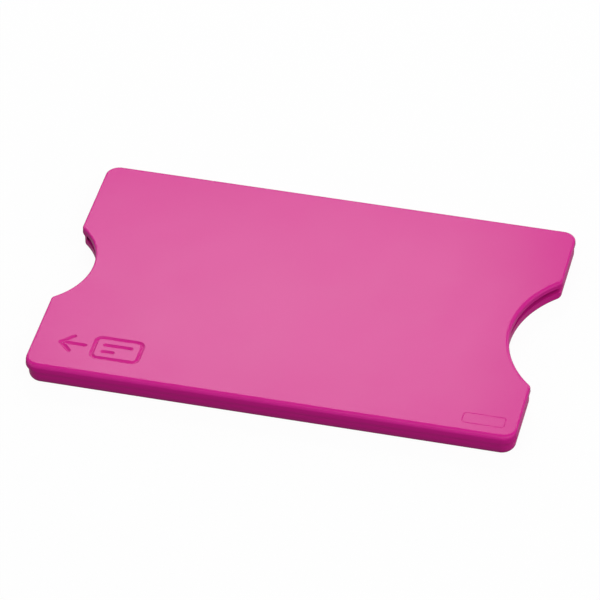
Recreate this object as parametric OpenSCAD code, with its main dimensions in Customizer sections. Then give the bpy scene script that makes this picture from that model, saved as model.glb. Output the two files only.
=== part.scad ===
// Hard moulded sleeve for one contactless card: a flat top plate welded to a shallow tray,
// with a shielding sheet laid in a pocket on each side of the card channel.
// Frame: +X to the open mouth, -X to the closed end, +Z up, origin under the middle of the outline.

/* [Card] */
// Length of the card that the sleeve holds
card_l = 85.6; // [82:0.1:92]
// Width of the card
card_w = 53.98; // [50:0.01:58]
// Thickness of the card
card_t = 0.76; // [0.6:0.01:1]
// Free space between the card's edges and the walls
card_gap = 0.3; // [0.2:0.05:0.6]
// Free height above the card
card_headroom = 0.54; // [0.4:0.01:0.8]

/* [Shells] */
// Width of the two long side walls
side_wall_w = 2.21; // [1.8:0.01:3]
// Thickness of the tray's wall at the closed end
end_wall_t = 0.75; // [0.5:0.05:1]
// How far inside the mouth the card's near edge rests
card_recess = 2.9; // [2.85:0.05:4]
// Thickness of the top plate above the channel
plate_t = 1.1; // [0.9:0.05:1.5]
// Height of the plate's rim that hangs down past the channel's roof
plate_rim_h = 0.5; // [0.3:0.05:0.8]
// Thickness of the tray's floor
floor_t = 1.65; // [1.2:0.05:2]
// How far the top plate reaches out past the tray at the closed end
lip = 0.45; // [0.45:0.05:0.8]
// Radius of the lip's lower edge
lip_edge_r = 0.4; // [0.1:0.05:0.4]
// How far the top plate reaches out past the tray round the mouth
mouth_lip = 0.15; // [0.05:0.05:0.3]
// Radius of the rounded outer edges of the plate
top_edge_r = 0.65; // [0.4:0.05:0.8]
// Radius of the rounded outer edges of the underside
bottom_edge_r = 0.8; // [0.4:0.05:0.85]
// Plan radius of the two outer corners at the mouth
mouth_corner_r = 2.6; // [1.5:0.1:4]
// Plan radius of the two outer corners at the closed end
end_corner_r = 2.6; // [1.5:0.1:3]

/* [Notches] */
// Depth of the grip notch at the mouth
grip_d = 6.55; // [5.5:0.05:7.5]
// Width of the grip notch where it leaves the plate
grip_w = 29.1; // [26:0.1:32]
// Radius of the corners at the sides of the grip notch
grip_corner_r = 1.4; // [1:0.05:1.6]
// Depth of the push-out notch at the closed end
push_d = 4.95; // [4.2:0.05:6]
// Width of the push-out notch where it leaves the plate
push_w = 20.4; // [17:0.1:24]
// Radius of the corners at the sides of the push-out notch
push_corner_r = 1; // [0.9:0.05:1.3]

/* [Card channel] */
// Radius of the channel's inner corners at the closed end
channel_corner_r = 2.5; // [1:0.1:3]
// How much wider the mouth is on each side, to lead the card in
flare_w = 0.6; // [0.3:0.05:1]
// Length over which the mouth narrows to the channel
flare_l = 3.5; // [2:0.1:6]
// Length of the slope on the floor's front edge
ramp_l = 0.6; // [0.4:0.05:1]
// Drop of that slope
ramp_h = 0.2; // [0.1:0.05:0.4]
// Height of the bumps that keep the card from sliding out
bump_h = 0.3; // [0.15:0.05:0.35]
// Radius of a bump at its foot
bump_foot_r = 0.8; // [0.5:0.05:1]
// Distance of the bumps from the tray's front edge
bump_setback = 1.85; // [1.5:0.05:1.85]
// Distance from the middle to the first bump of each side
bump_y = 19; // [18.5:0.5:20]
// Distance between the bumps of one side
bump_pitch = 4; // [3:0.5:5]
// Bumps on each side of the grip notch
bump_count = 2; // [1:1:2]

/* [Shielding] */
// Thickness of a shielding sheet
shield_t = 0.2; // [0.1:0.05:0.3]
// Depth of the sheet's face below the wall that it is laid in
shield_sink = 0.05; // [0.02:0.01:0.1]
// Free space round the edge of a sheet in its pocket
shield_gap = 0.15; // [0.1:0.05:0.3]
// Land between a pocket and the notches
shield_land = 1.5; // [1:0.1:2.5]
// Land between a pocket and the channel's side and end walls
shield_margin = 1.5; // [1:0.1:2.5]
// Land between a pocket and the front edge of the plate
shield_setback = 4.8; // [4.4:0.1:5.6]
// Plan radius of the sheet's corners
shield_corner_r = 2; // [1:0.1:3]

/* [Weld] */
// Width of the weld rib that stands on the tray's rim
weld_w = 0.5; // [0.3:0.05:0.6]
// Height of the weld rib
weld_h = 0.35; // [0.2:0.05:0.5]
// Free space between the rib and its groove
weld_gap = 0.05; // [0.02:0.01:0.08]
// Distance from a rib's ends to the rounded corners
weld_stop = 1.2; // [0.8:0.1:2]

/* [Hidden] */

shell_colour = [0.86, 0.34, 0.62];
sheet_colour = [0.78, 0.79, 0.80];

// Overall sizes, which follow from the card and its walls
length = lip + end_wall_t + card_gap + card_l + card_recess;
width = card_w + 2 * (card_gap + side_wall_w);
channel_w = card_w + 2 * card_gap;
channel_h = card_t + card_headroom;
roof_z = floor_t + channel_h;
seam_z = roof_z - plate_rim_h;
top_z = roof_z + plate_t;
mouth_x = length / 2;
tray_mouth_x = mouth_x - mouth_lip;
end_x = length / 2;
tray_end_x = end_x - lip;
channel_end_x = tray_end_x - end_wall_t;
pocket_h = shield_t + shield_sink;

// Overrun of a cut past the face that it opens
over = 0.5;
// Depth to which a raised feature is rooted in its wall
root = 0.2;

// Segments of a corner, of a notch's side corner, of a notch, of a rounded edge and of the lip's edge
corner_steps = 8;
side_corner_steps = 5;
notch_steps = 28;
edge_steps = 5;
lip_edge_steps = 4;
bump_steps = 6;

// A notch is part of a circle with this radius, whose centre lies outside the plate
function notch_radius(depth, across) = (depth * depth + across * across / 4) / (2 * depth);
grip_r = notch_radius(grip_d, grip_w);
grip_centre_x = mouth_x - grip_d + grip_r;
push_r = notch_radius(push_d, push_w);
push_centre_x = end_x - push_d + push_r;

// Points of an arc in the plane, both ends included
function arc(centre, r, from, to, steps) =
    [for (i = [0:steps])
        let (a = from + (to - from) * i / steps)
        centre + r * [cos(a), sin(a)]];

// One end of an outline is [reach, corner radius, notch centre, notch radius, side corner radius]
function side_corner_y(e) = sqrt(pow(e[3] + e[4], 2) - pow(e[2] - e[0] + e[4], 2));

// Points of the end that faces +X, from front to back, drawn in by inset
function end_points(e, half_w, inset) =
    let (
        side_x = e[0] - e[4],
        side_y = side_corner_y(e),
        turn = atan2(side_y, e[2] - side_x),
        corner = [e[0] - e[1], half_w - e[1]]
    )
    concat(
        arc([corner[0], -corner[1]], e[1] - inset, -90, 0, corner_steps),
        arc([side_x, -side_y], e[4] - inset, 0, turn, side_corner_steps),
        arc([e[2], 0], e[3] + inset, 180 + turn, 180 - turn, notch_steps),
        arc([side_x, side_y], e[4] - inset, -turn, 0, side_corner_steps),
        arc(corner, e[1] - inset, 0, 90, corner_steps)
    );

function turned_about(points) =
    [for (i = [len(points) - 1:-1:0]) [-points[i][0], points[i][1]]];

// Closed outline with a notch in each end: the mouth at +X, the closed end turned to -X
function outline(mouth, closed, half_w, inset = 0) =
    concat(end_points(mouth, half_w, inset), turned_about(end_points(closed, half_w, inset)));

plate_mouth = [mouth_x, mouth_corner_r, grip_centre_x, grip_r, grip_corner_r];
plate_end = [end_x, end_corner_r, push_centre_x, push_r, push_corner_r];
tray_mouth = [tray_mouth_x, mouth_corner_r, grip_centre_x, grip_r + mouth_lip, grip_corner_r];
tray_end = [tray_end_x, end_corner_r, push_centre_x, push_r, push_corner_r];

// The same end, drawn back from its reach
function drawn_back(e, back) = [e[0] - back, e[1], e[2], e[3], e[4]];

// Solid through a stack of outlines, one for each [height, inset, closed end drawn back by]
// from the bottom up. Every outline can be seen whole from its middle, so each cap is a fan
// about that point.
module stacked_outlines(mouth, closed, levels) {
    rings = [for (level = levels) outline(mouth, drawn_back(closed, level[2]), width / 2, level[1])];
    n = len(rings[0]);
    last = len(levels) - 1;
    ring_points = [for (k = [0:last], p = rings[k]) [p[0], p[1], levels[k][0]]];
    low_middle = len(ring_points);
    high_middle = low_middle + 1;
    walls = [for (k = [0:last - 1], i = [0:n - 1])
        let (
            j = (i + 1) % n,
            low = k * n,
            high = low + n
        )
        each [[low + i, high + i, high + j], [low + i, high + j, low + j]]];
    caps = [for (i = [0:n - 1])
        let (j = (i + 1) % n)
        each [[low_middle, i, j], [high_middle, last * n + j, last * n + i]]];
    polyhedron(
        points = concat(ring_points, [[0, 0, levels[0][0]], [0, 0, levels[last][0]]]),
        faces = concat(walls, caps)
    );
}

// Heights and insets of a quarter round of radius r, from its vertical wall to its flat face
function quarter_round(r, steps) =
    [for (i = [0:steps])
        let (a = 90 * i / steps)
        [r * sin(a), r * (1 - cos(a))]];
top_edge = quarter_round(top_edge_r, edge_steps);
bottom_edge = quarter_round(bottom_edge_r, edge_steps);
lip_edge = quarter_round(lip_edge_r, lip_edge_steps);

// The plate's lower edge is rounded at the lip alone, its upper edge all round
plate_levels = concat(
    [for (i = [lip_edge_steps:-1:0]) [seam_z + lip_edge_r - lip_edge[i][0], 0, lip_edge[i][1]]],
    [for (level = top_edge) [top_z - top_edge_r + level[0], level[1], 0]]
);
tray_levels = concat(
    [for (i = [edge_steps:-1:0]) [bottom_edge_r - bottom_edge[i][0], bottom_edge[i][1], 0]],
    [[seam_z, 0, 0]]
);

// Plan of a shielding sheet, or of its pocket when it is grown by the gap
module shield_plan(grow) {
    mouth = [
        mouth_x - shield_setback - shield_gap + grow,
        shield_corner_r + grow,
        grip_centre_x,
        grip_r + shield_land + shield_gap - grow,
        grip_corner_r + grow
    ];
    closed = [
        channel_end_x - shield_margin - shield_gap + grow,
        shield_corner_r + grow,
        push_centre_x,
        push_r + shield_land + shield_gap - grow,
        push_corner_r + grow
    ];
    polygon(outline(mouth, closed, channel_w / 2 - shield_margin - shield_gap + grow));
}

// Plan of the card channel, open and flared at the mouth
module channel_plan() {
    half_w = channel_w / 2;
    corner = [channel_corner_r - channel_end_x, half_w - channel_corner_r];
    back = concat(
        [
            [mouth_x + over, half_w + flare_w],
            [tray_mouth_x, half_w + flare_w],
            [tray_mouth_x - flare_l, half_w]
        ],
        arc(corner, channel_corner_r, 90, 180, corner_steps)
    );
    front = [for (i = [len(back) - 1:-1:0]) [back[i][0], -back[i][1]]];
    polygon(concat(back, front));
}

// Plan of the weld ribs, or of their grooves when it is grown by the gap.
// One runs along the middle of each side wall.
module weld_plan(grow) {
    start_x = end_corner_r + weld_stop - tray_end_x - grow;
    stop_x = tray_mouth_x - mouth_corner_r - weld_stop + grow;
    line_y = (width - side_wall_w) / 2;
    half_w = weld_w / 2 + grow;
    for (side = [-1, 1])
        translate([start_x, side * line_y - half_w])
            square([stop_x - start_x, 2 * half_w]);
}

// Low dome that stands on z = 0 and is rooted below it
module bump() {
    dome_r = (bump_foot_r * bump_foot_r + bump_h * bump_h) / (2 * bump_h);
    reach = asin(bump_foot_r / dome_r);
    profile = arc([0, bump_h - dome_r], dome_r, 90 - reach, 90, bump_steps);
    rotate_extrude($fn = 32)
        polygon(concat([[0, -root], [bump_foot_r, -root]], profile));
}

// Slope on the front edge of the tray's floor
module mouth_ramp() {
    half_w = channel_w / 2 + flare_w;
    slope = ramp_h / ramp_l;
    translate([tray_mouth_x, half_w, floor_t])
        rotate([90, 0, 0])
            linear_extrude(2 * half_w)
                polygon([[-ramp_l, 0], [over, -ramp_h - over * slope], [over, 0]]);
}

// Flat plate with rounded upper edges. Its rim hangs down round the channel's roof,
// which has a pocket for the sheet, and takes the weld ribs in two grooves.
module top_shell() {
    color(shell_colour)
    difference() {
        stacked_outlines(plate_mouth, plate_end, plate_levels);
        translate([0, 0, seam_z - over])
            linear_extrude(over + plate_rim_h)
                channel_plan();
        translate([0, 0, seam_z - over])
            linear_extrude(over + plate_rim_h + pocket_h)
                shield_plan(shield_gap);
        translate([0, 0, seam_z - over])
            linear_extrude(over + weld_h + weld_gap)
                weld_plan(weld_gap);
    }
}

// Shallow tray with the card channel, the second pocket, the weld ribs and the bumps
module bottom_shell() {
    color(shell_colour) {
        difference() {
            stacked_outlines(tray_mouth, tray_end, tray_levels);
            translate([0, 0, floor_t])
                linear_extrude(channel_h + over)
                    channel_plan();
            translate([0, 0, floor_t - pocket_h])
                linear_extrude(pocket_h + over)
                    shield_plan(shield_gap);
            mouth_ramp();
        }
        translate([0, 0, seam_z - root])
            linear_extrude(root + weld_h)
                weld_plan(0);
        for (side = [-1, 1], i = [0:bump_count - 1])
            translate([tray_mouth_x - bump_setback, side * (bump_y + i * bump_pitch), floor_t])
                bump();
    }
}

// Sheet against the underside of the top plate
module top_shield() {
    color(sheet_colour)
    translate([0, 0, roof_z + shield_sink])
        linear_extrude(shield_t)
            shield_plan(0);
}

// Sheet in the floor of the tray
module bottom_shield() {
    color(sheet_colour)
    translate([0, 0, floor_t - pocket_h])
        linear_extrude(shield_t)
            shield_plan(0);
}

top_shell();
bottom_shell();
top_shield();
bottom_shield();
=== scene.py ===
# Hard moulded sleeve for a contactless card: two pink plastic shells and two metal sheets.
# Outlines are drawn in millimetres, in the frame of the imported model, and meshes are in metres.
# +X is the open mouth with the wide notch, -X the closed end with the narrow one.
import math

import bmesh
import bpy
from mathutils import Matrix, Vector


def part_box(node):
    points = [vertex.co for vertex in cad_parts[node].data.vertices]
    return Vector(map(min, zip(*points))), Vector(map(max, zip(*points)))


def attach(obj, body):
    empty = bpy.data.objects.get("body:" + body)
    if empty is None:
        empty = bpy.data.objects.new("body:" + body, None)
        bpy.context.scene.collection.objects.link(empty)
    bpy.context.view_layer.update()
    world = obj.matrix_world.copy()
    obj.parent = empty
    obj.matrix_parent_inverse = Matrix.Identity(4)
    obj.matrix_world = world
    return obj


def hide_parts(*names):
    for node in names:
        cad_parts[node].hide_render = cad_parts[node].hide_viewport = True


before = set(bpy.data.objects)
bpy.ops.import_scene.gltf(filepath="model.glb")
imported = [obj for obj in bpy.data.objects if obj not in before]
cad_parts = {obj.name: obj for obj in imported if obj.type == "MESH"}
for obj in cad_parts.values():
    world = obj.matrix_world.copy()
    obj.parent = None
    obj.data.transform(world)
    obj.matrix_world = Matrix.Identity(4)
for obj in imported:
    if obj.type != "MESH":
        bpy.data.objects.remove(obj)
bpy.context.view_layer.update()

MM = 0.001

# Overrun of a cutter past the face that it opens
OVER = 0.5


def box_mm(node):
    """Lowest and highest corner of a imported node, in millimetres."""
    low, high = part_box(node)
    return low / MM, high / MM


plate_low, plate_high = box_mm("top_shell")
tray_low, tray_high = box_mm("bottom_shell")
upper_sheet_low, upper_sheet_high = box_mm("top_shield")
lower_sheet_low, lower_sheet_high = box_mm("bottom_shield")

# Depth of a sheet's face below the wall that it is laid in
SHEET_SINK = 0.05

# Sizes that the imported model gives
HALF_W = plate_high.y
MOUTH_X = plate_high.x
END_X = -plate_low.x
TRAY_MOUTH_X = tray_high.x
TRAY_END_X = -tray_low.x
MOUTH_LIP = MOUTH_X - TRAY_MOUTH_X
TOP_Z = plate_high.z
ROOF_Z = upper_sheet_low.z - SHEET_SINK
FLOOR_Z = lower_sheet_high.z + SHEET_SINK
SEAM_Z = plate_low.z
WELD_H = tray_high.z - SEAM_Z

# Width and height of each rounded outer edge: at the ends, in the wide notch, in the narrow notch
# and along the sides
TOP_EDGES = ((0.35, 0.35), (0.6, 0.6), (0.35, 0.35), (0.85, 0.85))
BOTTOM_EDGES = ((0.8, 0.8), (0.55, 0.55), (0.7, 0.7), (0.6, 1.9))

# Corners, notches and the lip's edge, as in the part's source
LIP_EDGE_R = 0.4
MOUTH_CORNER_R = 2.6
END_CORNER_R = 2.6
GRIP_D = 6.55
GRIP_W = 29.1
GRIP_CORNER_R = 1.4
PUSH_D = 4.95
PUSH_W = 20.4
PUSH_CORNER_R = 1

# Lean of the outer walls of a moulding, away from the seam
PLATE_DRAFT = 0.04
TRAY_DRAFT = 0.07

# Card channel
CARD_W = 53.98
CARD_GAP = 0.3
CHANNEL_HALF_W = CARD_W / 2 + CARD_GAP
END_WALL_T = 0.75
SIDE_WALL_W = HALF_W - CHANNEL_HALF_W
CHANNEL_CORNER_R = 2.5
FLARE_W = 0.6
FLARE_L = 3.5
RAMP_L = 0.6
RAMP_H = 0.2
BUMP_H = 0.3
BUMP_FOOT_R = 0.8
BUMP_SETBACK = 1.85
BUMP_PLACES_Y = (19, 23)

# Pockets of the shielding sheets, and the bare plastic between a pocket and a notch
SHEET_GAP = 0.15
SHEET_LAND = 1.5
SHEET_CORNER_R = 2

# Weld ribs on the tray's rim and their grooves in the plate
WELD_W = 0.5
WELD_GAP = 0.05
WELD_STOP = 1.2

# Fineness of the arcs
CORNER_STEPS = 20
SIDE_CORNER_STEPS = 12
NOTCH_STEPS = 72
EDGE_STEPS = 9
LIP_STEPS = 6
SIGN_STEPS = 8
BAR_END_STEPS = 12
BUMP_STEPS = 6
BUMP_SIDES = 24

# Plain strip before and after a rounded edge, which keeps its shading apart from the flat faces
EDGE_REST = 0.06


def notch(reach, depth, across):
    """Centre and radius of the circle that cuts a notch into an end."""
    r = (depth * depth + across * across / 4) / (2 * depth)
    return reach - depth + r, r


GRIP_CENTRE_X, GRIP_R = notch(MOUTH_X, GRIP_D, GRIP_W)
PUSH_CENTRE_X, PUSH_R = notch(END_X, PUSH_D, PUSH_W)


# Outlines in plan

def arc(centre, r, start, end, steps):
    """Points of an arc in the plane, both ends included. Angles are in degrees."""
    angles = [math.radians(start + (end - start) * i / steps) for i in range(steps + 1)]
    return [(centre[0] + r * math.cos(a), centre[1] + r * math.sin(a)) for a in angles]


class End:
    """One end of an outline, facing +X: how far it reaches, its corners and its notch."""

    def __init__(self, reach, corner_r, centre_x, notch_r, side_r):
        self.reach = reach
        self.corner_r = corner_r
        self.centre_x = centre_x
        self.notch_r = notch_r
        self.side_r = side_r
        self.side_x = reach - side_r
        self.side_y = math.sqrt((notch_r + side_r) ** 2 - (centre_x - self.side_x) ** 2)

    def drawn_back(self, back):
        """The same end with its reach drawn back, and the notch where it was."""
        return End(self.reach - back, self.corner_r, self.centre_x, self.notch_r, self.side_r)

    def with_notch_grown(self, growth):
        """The same end with a wider and deeper notch."""
        return End(self.reach, self.corner_r, self.centre_x, self.notch_r + growth, self.side_r)

    def points(self, half_w, inset):
        """Points from front to back, drawn in by inset."""
        turn = math.degrees(math.atan2(self.side_y, self.centre_x - self.side_x))
        corner = (self.reach - self.corner_r, half_w - self.corner_r)
        corner_r = self.corner_r - inset
        side_r = self.side_r - inset
        return (
            arc((corner[0], -corner[1]), corner_r, -90, 0, CORNER_STEPS)
            + arc((self.side_x, -self.side_y), side_r, 0, turn, SIDE_CORNER_STEPS)
            + arc((self.centre_x, 0), self.notch_r + inset, 180 + turn, 180 - turn, NOTCH_STEPS)
            + arc((self.side_x, self.side_y), side_r, -turn, 0, SIDE_CORNER_STEPS)
            + arc(corner, corner_r, 0, 90, CORNER_STEPS)
        )


def outline(mouth, closed, half_w, inset=0):
    """Closed outline with a notch in each end: the mouth at +X, the closed end turned to -X."""
    turned = [(-x, y) for x, y in reversed(closed.points(half_w, inset))]
    return mouth.points(half_w, inset) + turned


def mirrored(points):
    """The same points on the other side of the X axis, in reverse order."""
    return [(x, -y) for x, y in reversed(points)]


def rounded_box(centre, half_l, half_w, r):
    """Rectangle with round corners."""
    x, y = half_l - r, half_w - r
    corners = (((x, y), 0), ((-x, y), 90), ((-x, -y), 180), ((x, -y), 270))
    return [
        point
        for (cx, cy), start in corners
        for point in arc((centre[0] + cx, centre[1] + cy), r, start, start + 90, SIGN_STEPS)
    ]


plate_mouth = End(MOUTH_X, MOUTH_CORNER_R, GRIP_CENTRE_X, GRIP_R, GRIP_CORNER_R)
plate_end = End(END_X, END_CORNER_R, PUSH_CENTRE_X, PUSH_R, PUSH_CORNER_R)
tray_mouth = End(TRAY_MOUTH_X, MOUTH_CORNER_R, GRIP_CENTRE_X, GRIP_R + MOUTH_LIP, GRIP_CORNER_R)
tray_end = End(TRAY_END_X, END_CORNER_R, PUSH_CENTRE_X, PUSH_R, PUSH_CORNER_R)


def pocket_outline():
    """Pocket of a sheet: the sheet's own plan, grown by the gap round it."""
    mouth = End(
        upper_sheet_high.x + SHEET_GAP,
        SHEET_CORNER_R + SHEET_GAP,
        GRIP_CENTRE_X,
        GRIP_R + SHEET_LAND,
        GRIP_CORNER_R + SHEET_GAP,
    )
    closed = End(
        -upper_sheet_low.x + SHEET_GAP,
        SHEET_CORNER_R + SHEET_GAP,
        PUSH_CENTRE_X,
        PUSH_R + SHEET_LAND,
        PUSH_CORNER_R + SHEET_GAP,
    )
    return outline(mouth, closed, upper_sheet_high.y + SHEET_GAP)


def channel_outline():
    """Card channel, open and flared at the mouth."""
    far_x = TRAY_END_X - END_WALL_T
    corner = (CHANNEL_CORNER_R - far_x, CHANNEL_HALF_W - CHANNEL_CORNER_R)
    back = [
        (MOUTH_X + OVER, CHANNEL_HALF_W + FLARE_W),
        (TRAY_MOUTH_X, CHANNEL_HALF_W + FLARE_W),
        (TRAY_MOUTH_X - FLARE_L, CHANNEL_HALF_W),
    ]
    back += arc(corner, CHANNEL_CORNER_R, 90, 180, CORNER_STEPS)
    return back + mirrored(back)


def weld_outline(side, grow):
    """Weld rib along one side wall, or its groove when it is grown by the gap."""
    start_x = END_CORNER_R + WELD_STOP - TRAY_END_X - grow
    stop_x = TRAY_MOUTH_X - MOUTH_CORNER_R - WELD_STOP + grow
    line_y = side * (HALF_W - SIDE_WALL_W / 2)
    half = WELD_W / 2 + grow
    low_y, high_y = line_y - half, line_y + half
    return [(start_x, low_y), (stop_x, low_y), (stop_x, high_y), (start_x, high_y)]


# Solids

def at(points, z):
    return [(x, y, z) for x, y in points]


def add_rings(bm, rings):
    return [[bm.verts.new(Vector(p) * MM) for p in ring] for ring in rings]


def bridge(bm, low, high):
    """Quads between two rings of as many points each."""
    for i in range(len(low)):
        j = (i + 1) % len(low)
        bm.faces.new((low[i], low[j], high[j], high[i]))


def as_piece(name, bm):
    """Object in the scene from a closed mesh, with its faces turned outward."""
    bmesh.ops.recalc_face_normals(bm, faces=bm.faces)
    mesh = bpy.data.meshes.new(name)
    bm.to_mesh(mesh)
    bm.free()
    piece = bpy.data.objects.new(name, mesh)
    bpy.context.scene.collection.objects.link(piece)
    return piece


def loft(name, rings):
    """Solid through rings of as many points each, with a flat cap at both ends."""
    bm = bmesh.new()
    loops = add_rings(bm, rings)
    for low, high in zip(loops, loops[1:]):
        bridge(bm, low, high)
    bm.faces.new(list(reversed(loops[0])))
    bm.faces.new(loops[-1])
    return as_piece(name, bm)


def prism(name, points, low_z, high_z):
    return loft(name, [at(points, low_z), at(points, high_z)])


def combine(piece, tools, operation):
    """Cuts the tools out of a piece, or joins them to it, and deletes them."""
    for tool in tools:
        boolean = piece.modifiers.new(operation.lower(), "BOOLEAN")
        boolean.operation = operation
        boolean.solver = "EXACT"
        boolean.object = tool
    graph = bpy.context.evaluated_depsgraph_get()
    mesh = bpy.data.meshes.new_from_object(piece.evaluated_get(graph))
    piece.modifiers.clear()
    spent = piece.data
    piece.data = mesh
    bpy.data.meshes.remove(spent)
    mesh.name = piece.name
    for tool in tools:
        spent = tool.data
        bpy.data.objects.remove(tool)
        bpy.data.meshes.remove(spent)


SMOOTH_ANGLE = math.radians(28)


def smooth(piece):
    """Rounds are shaded smooth and real edges stay sharp."""
    piece.data.polygons.foreach_set("use_smooth", [True] * len(piece.data.polygons))
    piece.data.set_sharp_from_angle(angle=SMOOTH_ANGLE)
    piece.data.update()


def quarter_round(r, steps):
    """Rise and inset along a quarter round, from its vertical wall to its flat face."""
    angles = [math.pi / 2 * i / steps for i in range(steps + 1)]
    return [(r * math.sin(a), r * (1 - math.cos(a))) for a in angles]


def drawn_in(width, height, rise):
    """How far a quarter of an ellipse has drawn in at a rise above its foot."""
    share = min(max(rise / height, 0), 1)
    return width * (1 - math.sqrt(1 - share * share))


def edge_levels(edges, lean):
    """Rise, and inset of each kind of edge, from the walls up to the outer face."""
    high = max(height for _, height in edges)
    rises = {-EDGE_REST}
    for _, height in edges:
        steps = quarter_round(height, EDGE_STEPS)
        rises.update(round(high - height + rise, 4) for rise, _ in steps)
    levels = [
        (rise, [lean + drawn_in(width, height, rise - high + height) for width, height in edges])
        for rise in sorted(rises)
    ]
    rise, insets = levels[-1]
    return levels + [(rise, [inset + EDGE_REST for inset in insets])]


def edge_ring(mouth, closed, insets, z):
    """Ring of an outer edge, with its own inset at the ends, in each notch and along the sides."""
    at_end, at_grip, at_push, at_side = insets
    plan = outline(
        mouth.with_notch_grown(at_grip - at_end),
        closed.with_notch_grown(at_push - at_end),
        HALF_W + at_end - at_side,
        at_end,
    )
    return at(plan, z)


# Moulded sign on the plate: a plain card and an arrow that shows which way it goes in.
# Places are from the sign's centre, and those of the card's two lines from the middle of the card.

SIGN_CENTRE = (-32.45, -22)
CARD_SIGN_HALF = (4.3, 2.75)
CARD_SIGN_X = 3.1
CARD_SIGN_R = 1.1
LONG_LINE = ((-2.4, 0.85), (2.4, 0.85))
SHORT_LINE = ((-2.4, -0.95), (-0.6, -0.95))
ARROW_TAIL_X = -2.9
ARROW_TIP_X = -7.4
ARROW_HEAD = 2.0

# Half width of a stroke's groove at each height over the plate
STROKE = ((0.1, 0.56), (-0.1, 0.34), (-0.19, 0.22), (-0.25, 0.12), (-0.28, 0.03))


def bar(start, end, half):
    """Outline of a straight stroke with round ends."""
    angle = math.degrees(math.atan2(end[1] - start[1], end[0] - start[0]))
    end_round = arc(end, half, angle - 90, angle + 90, BAR_END_STEPS)
    return end_round + arc(start, half, angle + 90, angle + 270, BAR_END_STEPS)


def bar_cutter(name, start, end):
    """Cutter for a straight groove with leaning walls and a round bottom."""
    levels = reversed(STROKE)
    return loft(name, [at(bar(start, end, half), TOP_Z + rise) for rise, half in levels])


def ring_cutter(name, centre, half_l, half_w, r, stroke):
    """Cutter for such a groove that goes round a rectangle with round corners."""
    profile = [(half, rise) for rise, half in stroke]
    profile += [(-half, rise) for rise, half in reversed(stroke)]
    bm = bmesh.new()
    loops = add_rings(bm, [
        at(rounded_box(centre, half_l + grow, half_w + grow, r + grow), TOP_Z + rise)
        for grow, rise in profile
    ])
    for low, high in zip(loops, loops[1:] + loops[:1]):
        bridge(bm, low, high)
    return as_piece(name, bm)


def sign_cutters():
    x, y = SIGN_CENTRE
    card_x = x + CARD_SIGN_X
    tip_x = x + ARROW_TIP_X
    head_x = tip_x + ARROW_HEAD
    strokes = {
        "long_line_groove": [(card_x + along, y + across) for along, across in LONG_LINE],
        "short_line_groove": [(card_x + along, y + across) for along, across in SHORT_LINE],
        "arrow_shaft": [(x + ARROW_TAIL_X, y), (tip_x, y)],
        "arrow_upper": [(head_x, y + ARROW_HEAD), (tip_x, y)],
        "arrow_lower": [(head_x, y - ARROW_HEAD), (tip_x, y)],
    }
    card = ring_cutter("card_groove", (card_x, y), *CARD_SIGN_HALF, CARD_SIGN_R, STROKE)
    return [card] + [bar_cutter(name, start, end) for name, (start, end) in strokes.items()]


# Plain patch in the front corner of the plate, marked off by a hair-thin groove
PATCH_CENTRE = (38.7, -25.6)
PATCH_HALF = (3.8, 1.3)
PATCH_R = 0.5
PATCH_STROKE = ((0.05, 0.16), (-0.03, 0.08), (-0.05, 0.02))


def make_top_shell():
    lip_round = reversed(quarter_round(LIP_EDGE_R, LIP_STEPS))
    rings = [
        at(outline(plate_mouth, plate_end.drawn_back(back), HALF_W), SEAM_Z + LIP_EDGE_R - rise)
        for rise, back in lip_round
    ]
    levels = edge_levels(TOP_EDGES, PLATE_DRAFT)
    foot_z = TOP_Z - levels[-1][0]
    rings += [edge_ring(plate_mouth, plate_end, insets, foot_z + rise) for rise, insets in levels]
    shell = loft("top_shell_moulding", rings)
    below = SEAM_Z - OVER
    groove_z = SEAM_Z + WELD_H + WELD_GAP
    tools = [
        prism("roof_recess", channel_outline(), below, ROOF_Z),
        prism("sheet_pocket", pocket_outline(), below, upper_sheet_high.z),
        prism("weld_groove_back", weld_outline(1, WELD_GAP), below, groove_z),
        prism("weld_groove_front", weld_outline(-1, WELD_GAP), below, groove_z),
        ring_cutter("patch_groove", PATCH_CENTRE, *PATCH_HALF, PATCH_R, PATCH_STROKE),
    ]
    combine(shell, tools + sign_cutters(), "DIFFERENCE")
    smooth(shell)
    return shell


def make_bump(x, y):
    """Low dome on the tray's floor."""
    dome_r = (BUMP_FOOT_R ** 2 + BUMP_H ** 2) / (2 * BUMP_H)
    reach = math.asin(BUMP_FOOT_R / dome_r)
    angles = [reach * (BUMP_STEPS - i) / BUMP_STEPS for i in range(BUMP_STEPS)]
    levels = [(BUMP_FOOT_R, -BUMP_H)]
    levels += [(dome_r * math.sin(a), dome_r * math.cos(a) - dome_r + BUMP_H) for a in angles]
    last = 360 - 360 / BUMP_SIDES
    rings = [at(arc((x, y), r, 0, last, BUMP_SIDES - 1), FLOOR_Z + z) for r, z in levels]
    return loft("bump", rings)


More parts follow.
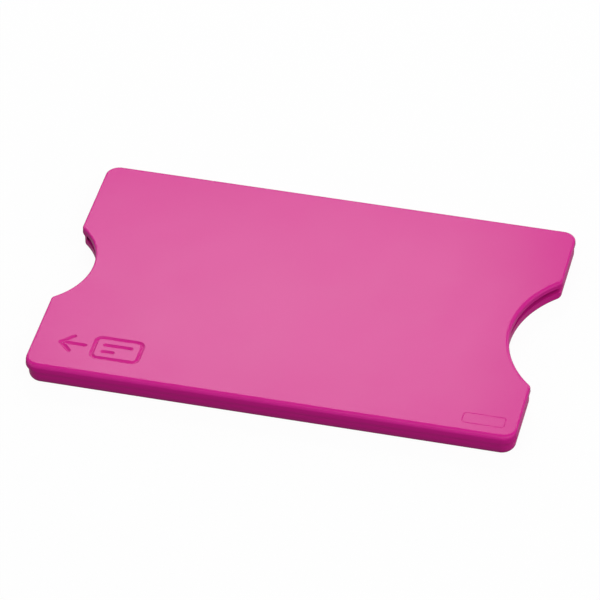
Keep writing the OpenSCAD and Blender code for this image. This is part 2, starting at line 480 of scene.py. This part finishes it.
def make_bottom_shell():
    levels = edge_levels(BOTTOM_EDGES, TRAY_DRAFT)
    foot_z = levels[-1][0]
    levels.reverse()
    rings = [edge_ring(tray_mouth, tray_end, insets, foot_z - rise) for rise, insets in levels]
    rings += [at(outline(tray_mouth, tray_end, HALF_W), SEAM_Z)]
    shell = loft("bottom_shell_moulding", rings)
    above = SEAM_Z + OVER
    slope = RAMP_H / RAMP_L
    ramp_y = CHANNEL_HALF_W + FLARE_W
    ramp_side = ((-RAMP_L, 0), (OVER, -RAMP_H - OVER * slope), (OVER, OVER), (-RAMP_L, OVER))
    ramp_rings = [
        [(x + TRAY_MOUTH_X, y, FLOOR_Z + z) for x, z in ramp_side] for y in (-ramp_y, ramp_y)
    ]
    channel = prism("card_channel", channel_outline(), FLOOR_Z, above)
    pocket = prism("sheet_pocket", pocket_outline(), lower_sheet_low.z, above)
    ramp = loft("mouth_ramp", ramp_rings)
    combine(shell, [channel, pocket, ramp], "DIFFERENCE")
    root_z = SEAM_Z - WELD_W / 2
    back_rib = prism("weld_rib_back", weld_outline(1, 0), root_z, SEAM_Z + WELD_H)
    front_rib = prism("weld_rib_front", weld_outline(-1, 0), root_z, SEAM_Z + WELD_H)
    bump_x = TRAY_MOUTH_X - BUMP_SETBACK
    bumps = [make_bump(bump_x, side * y) for side in (-1, 1) for y in BUMP_PLACES_Y]
    combine(shell, [back_rib, front_rib] + bumps, "UNION")
    smooth(shell)
    return shell


# Materials

class Wire:
    """A socket in a material's node tree. Arithmetic on it adds Math nodes."""

    def __init__(self, tree, socket=None):
        self.tree = tree
        self.socket = socket

    def node(self, kind, settings=None, sockets=None, output=0):
        """Adds a node, sets its properties, then the values or links of its sockets."""
        made = self.tree.nodes.new(kind)
        for name, value in (settings or {}).items():
            setattr(made, name, value)
        for name, value in (sockets or {}).items():
            if isinstance(value, Wire):
                self.tree.links.new(value.socket, made.inputs[name])
            else:
                made.inputs[name].default_value = value
        return Wire(self.tree, made.outputs[output] if made.outputs else None)

    def maths(self, operation, *values):
        return self.node("ShaderNodeMath", {"operation": operation}, dict(enumerate(values)))

    def __add__(self, other):
        return self.maths("ADD", self, other)

    def __sub__(self, other):
        return self.maths("SUBTRACT", self, other)

    def __rsub__(self, other):
        return self.maths("SUBTRACT", other, self)

    def __mul__(self, other):
        return self.maths("MULTIPLY", self, other)

    __radd__ = __add__
    __rmul__ = __mul__


def new_material(name):
    """An empty material, as the start of its wires."""
    material = bpy.data.materials.new(name)
    material.use_nodes = True
    material.node_tree.nodes.clear()
    return material, Wire(material.node_tree)


def noise(wire, where, scale, detail=2.0, roughness=0.5):
    sockets = {"Vector": where, "Scale": scale, "Detail": detail, "Roughness": roughness}
    return wire.node("ShaderNodeTexNoise", None, sockets, "Fac")


def mixed(wire, factor, first, second):
    """Colour between two colours."""
    settings = {"data_type": "RGBA"}
    return wire.node("ShaderNodeMix", settings, {0: factor, 6: first, 7: second}, 2)


def millimetres(wire):
    """Place on the object in millimetres."""
    place = wire.node("ShaderNodeTexCoord", output="Object")
    settings = {"operation": "SCALE"}
    return wire.node("ShaderNodeVectorMath", settings, {"Vector": place, "Scale": 1 / MM})


def raised(wire, height, strength):
    """Normal of a surface with a height in millimetres."""
    sockets = {"Strength": strength, "Distance": MM, "Height": height}
    return wire.node("ShaderNodeBump", None, sockets)


SHELL_PINK = (0.655, 0.0125, 0.275, 1)
SHELL_PINK_DEEP = (0.625, 0.0105, 0.254, 1)
# Painted highlight: the lighter pink that the rounded rims are painted with
SHELL_PINK_RIM_HIGHLIGHT = (0.70, 0.024, 0.325, 1)
SHELL_ROUGHNESS = 0.19
SHELL_IOR = 1.5
SHELL_SPECULAR_LEVEL = 0.12

# Scale of each noise on the plastic, to the millimetre
CLOUD_SCALE = 0.05
RUB_AND_HIGHLIGHT_SCALE = 0.6
SMEAR_SCALE = 0.12
GRAIN_SCALE = 5.0
WAVE_SCALE = 0.09

# How much each adds to the roughness, the colour and the height, heights in millimetres
SMEAR_ROUGHNESS = 0.06
GRAIN_ROUGHNESS = 0.02
RUB_ROUGHNESS = 0.08
# Share of the painted highlight's lighter pink on the rounded rims
RIM_HIGHLIGHT_TINT = 0.5
GRAIN_HEIGHT = 0.004
WAVE_HEIGHT = 0.03
SHELL_BUMP = 0.5
RIM_SHARPNESS = 2.0


def moulded_plastic():
    """Satin moulded plastic: faint clouds of colour, fine grain, rims rubbed a little smoother and
    painted a lighter pink as a painted highlight.
    """
    material, wire = new_material("moulded_plastic")
    where = millimetres(wire)
    clouds = noise(wire, where, CLOUD_SCALE, 3.0)
    body = mixed(wire, clouds, SHELL_PINK_DEEP, SHELL_PINK)
    normal = wire.node("ShaderNodeNewGeometry", output="Normal")
    up = wire.maths("ABSOLUTE", wire.node("ShaderNodeSeparateXYZ", None, {0: normal}, "Z"))
    # Mask of the rounded rims, where the surface tilts between flat and upright. It paints them a
    # lighter pink as a painted highlight, and makes them a little smoother, which is real wear
    rim = wire.maths("POWER", 4 * up * (1 - up), RIM_SHARPNESS)
    rub_and_rim_highlight = rim * noise(wire, where, RUB_AND_HIGHLIGHT_SCALE, 4.0)
    colour = mixed(wire, rub_and_rim_highlight * RIM_HIGHLIGHT_TINT, body, SHELL_PINK_RIM_HIGHLIGHT)
    smears = noise(wire, where, SMEAR_SCALE, 4.0, 0.6)
    grain = noise(wire, where, GRAIN_SCALE, 2.0)
    roughness = SHELL_ROUGHNESS + smears * SMEAR_ROUGHNESS + grain * GRAIN_ROUGHNESS
    waves = noise(wire, where, WAVE_SCALE, 1.0)
    bump = raised(wire, grain * GRAIN_HEIGHT + waves * WAVE_HEIGHT, SHELL_BUMP)
    shader = wire.node(
        "ShaderNodeBsdfPrincipled",
        None,
        {
            "Base Color": colour,
            "Roughness": roughness - rub_and_rim_highlight * RUB_ROUGHNESS,
            "Normal": bump,
            "IOR": SHELL_IOR,
            "Specular IOR Level": SHELL_SPECULAR_LEVEL,
        },
    )
    wire.node("ShaderNodeOutputMaterial", None, {"Surface": shader})
    return material


SHEET_GREY = (0.80, 0.81, 0.82, 1)
SHEET_GREY_DULL = (0.66, 0.67, 0.69, 1)
SHEET_ROUGHNESS = 0.22

# Scale of the rolling lines along, across and through the sheet, and of its dull patches
LINE_SCALES = (0.04, 4.0, 1.0)
PATCH_SCALE = 0.1
LINE_ROUGHNESS = 0.2
PATCH_ROUGHNESS = 0.06
LINE_HEIGHT = 0.003
SHEET_BUMP = 0.6


def rolled_sheet():
    """Thin aluminium sheet: lines along the rolling direction, and duller patches."""
    material, wire = new_material("rolled_sheet")
    where = millimetres(wire)
    settings = {"operation": "MULTIPLY"}
    stretch = wire.node("ShaderNodeVectorMath", settings, {0: where, 1: LINE_SCALES})
    lines = noise(wire, stretch, 1.0, 4.0, 0.7)
    patches = noise(wire, where, PATCH_SCALE, 3.0)
    colour = mixed(wire, patches, SHEET_GREY_DULL, SHEET_GREY)
    roughness = SHEET_ROUGHNESS + lines * LINE_ROUGHNESS + patches * PATCH_ROUGHNESS
    bump = raised(wire, lines * LINE_HEIGHT, SHEET_BUMP)
    shader = wire.node(
        "ShaderNodeBsdfPrincipled",
        None,
        {"Base Color": colour, "Metallic": 1.0, "Roughness": roughness, "Normal": bump},
    )
    wire.node("ShaderNodeOutputMaterial", None, {"Surface": shader})
    return material


# Tone of the floor's paper to the camera and to mirrored rays
PAPER_SHOWN = 0.9
PAPER_BOUNCE = 0.08

# Share of plain white that is seen in place of the paper, straight on and mirrored
WHITE_SHARE = 0.95
MIRRORED_SHARE = 0.3
WHITE = (1, 1, 1, 1)


def light_path(wire, *names):
    """One output of the Light Path node for each name."""
    return [wire.node("ShaderNodeLightPath", output=name) for name in names]


def shown_white(wire, shader):
    """What the camera, glass and mirrors see: mostly plain white, and the rest the lit surface."""
    looked_at, seen_through, mirrored = light_path(
        wire, "Is Camera Ray", "Is Transmission Ray", "Is Glossy Ray"
    )
    straight = wire.maths("MAXIMUM", looked_at, seen_through) * WHITE_SHARE
    share = wire.maths("MAXIMUM", straight, mirrored * MIRRORED_SHARE)
    white = wire.node("ShaderNodeEmission", None, {"Color": WHITE, "Strength": 1.0})
    return wire.node("ShaderNodeMixShader", None, {0: share, 1: shader, 2: white})


def floor_paper():
    """White paper that shows a soft shadow. It is clear from below and to soft light."""
    material, wire = new_material("floor_paper")
    looked_at, soft_light = light_path(wire, "Is Camera Ray", "Is Diffuse Ray")
    tone = looked_at * (PAPER_SHOWN - PAPER_BOUNCE) + PAPER_BOUNCE
    paper = wire.node("ShaderNodeBsdfDiffuse", None, {"Color": tone})
    shown = shown_white(wire, paper)
    clear = wire.node("ShaderNodeBsdfTransparent")
    below = wire.node("ShaderNodeNewGeometry", output="Backfacing")
    passed = wire.maths("MAXIMUM", below, soft_light)
    surface = wire.node("ShaderNodeMixShader", None, {0: passed, 1: shown, 2: clear})
    wire.node("ShaderNodeOutputMaterial", None, {"Surface": surface})
    return material


def dress(piece, material):
    piece.data.materials.clear()
    piece.data.materials.append(material)


plastic = moulded_plastic()
sheet_metal = rolled_sheet()

top_shell = make_top_shell()
bottom_shell = make_bottom_shell()
for piece, node in ((top_shell, "top_shell"), (bottom_shell, "bottom_shell")):
    dress(piece, plastic)
    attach(piece, "root")
    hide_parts(node)
for node in ("top_shield", "bottom_shield"):
    dress(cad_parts[node], sheet_metal)


# Stage, in metres

FLOOR_HALF = 3.0
FLOOR_DROP = 0.02 * MM


def make_floor():
    """Floor a hair below the sleeve, so that the two faces don't coincide."""
    mesh = bpy.data.meshes.new("floor")
    half = FLOOR_HALF
    corners = [(-half, -half), (half, -half), (half, half), (-half, half)]
    mesh.from_pydata([(x, y, -FLOOR_DROP) for x, y in corners], [], [(0, 1, 2, 3)])
    floor = bpy.data.objects.new("floor", mesh)
    bpy.context.scene.collection.objects.link(floor)
    dress(floor, floor_paper())


def make_world():
    """Even white studio light, seen as plain white."""
    world = bpy.data.worlds.new("studio")
    world.use_nodes = True
    world.node_tree.nodes.clear()
    wire = Wire(world.node_tree)
    looked_at, mirrored, seen_through = light_path(
        wire, "Is Camera Ray", "Is Glossy Ray", "Is Transmission Ray"
    )
    seen = wire.maths("MAXIMUM", wire.maths("MAXIMUM", looked_at, mirrored), seen_through)
    strength = WORLD_STRENGTH + seen * (1 - WORLD_STRENGTH)
    background = wire.node("ShaderNodeBackground", None, {"Color": WHITE, "Strength": strength})
    wire.node("ShaderNodeOutputWorld", None, {"Surface": background})
    bpy.context.scene.world = world


def add_lamp(name, place, target, width, height, watts):
    """Rectangular soft lamp that faces a point."""
    data = bpy.data.lights.new(name, "AREA")
    data.shape = "RECTANGLE"
    data.size = width
    data.size_y = height
    data.energy = watts
    lamp = bpy.data.objects.new(name, data)
    lamp.location = place
    lamp.rotation_mode = "QUATERNION"
    lamp.rotation_quaternion = (Vector(target) - Vector(place)).to_track_quat("-Z", "Y")
    bpy.context.scene.collection.objects.link(lamp)


WORLD_STRENGTH = 0.12

# Place on the plate that the softbox faces, where its sheen lies
SHEEN_PLACE = (-0.004, -0.014, 0.004)
MIDDLE = (0, 0, 0)

# Name, place, point that the lamp faces, width and height, all in metres, and watts
LAMPS = (
    ("back_softbox", (-0.088, 0.316, 0.298), SHEEN_PLACE, 0.15, 0.09, 0.44),
    ("back_panel", (-0.163, 0.925, 0.342), MIDDLE, 2.2, 0.42, 4.8),
    ("front_lamp", (0.28, -0.45, 0.86), MIDDLE, 1.0, 1.0, 5.8),
    ("right_lamp", (0.80, -0.15, 0.40), MIDDLE, 1.0, 1.0, 3.5),
    ("left_lamp", (-0.75, -0.45, 0.45), MIDDLE, 1.0, 1.0, 2.3),
)

make_floor()
make_world()
for lamp in LAMPS:
    add_lamp(*lamp)

# Camera: azimuth from -Y towards +X, elevation and roll in degrees, the rest in millimetres
VIEW_AZIMUTH = 14.075
VIEW_ELEVATION = 40.265
VIEW_ROLL = -0.682
VIEW_DISTANCE = 816.014
VIEW_SHIFT = (0.880, -2.495)
VIEW_LENS = 267.95
SENSOR = 36

# Nearest and farthest that the camera sees, in metres
NEAR = 0.01
FAR = 20


def make_camera():
    azimuth, elevation, roll = (
        math.radians(a) for a in (VIEW_AZIMUTH, VIEW_ELEVATION, VIEW_ROLL)
    )
    back = Vector((
        math.sin(azimuth) * math.cos(elevation),
        -math.cos(azimuth) * math.cos(elevation),
        math.sin(elevation),
    ))
    level = Vector((math.cos(azimuth), math.sin(azimuth), 0))
    rise = back.cross(level)
    right = level * math.cos(roll) + rise * math.sin(roll)
    up = rise * math.cos(roll) - level * math.sin(roll)
    data = bpy.data.cameras.new("camera")
    data.lens = VIEW_LENS
    data.sensor_width = SENSOR
    data.clip_start = NEAR
    data.clip_end = FAR
    camera = bpy.data.objects.new("camera", data)
    place = back * VIEW_DISTANCE - right * VIEW_SHIFT[0] - up * VIEW_SHIFT[1]
    turn = Matrix((right, up, back)).transposed().to_4x4()
    camera.matrix_world = Matrix.Translation(place * MM) @ turn
    bpy.context.scene.collection.objects.link(camera)
    bpy.context.scene.camera = camera


make_camera()
bpy.context.scene.view_settings.view_transform = "Standard"

bpy.context.view_layer.update()
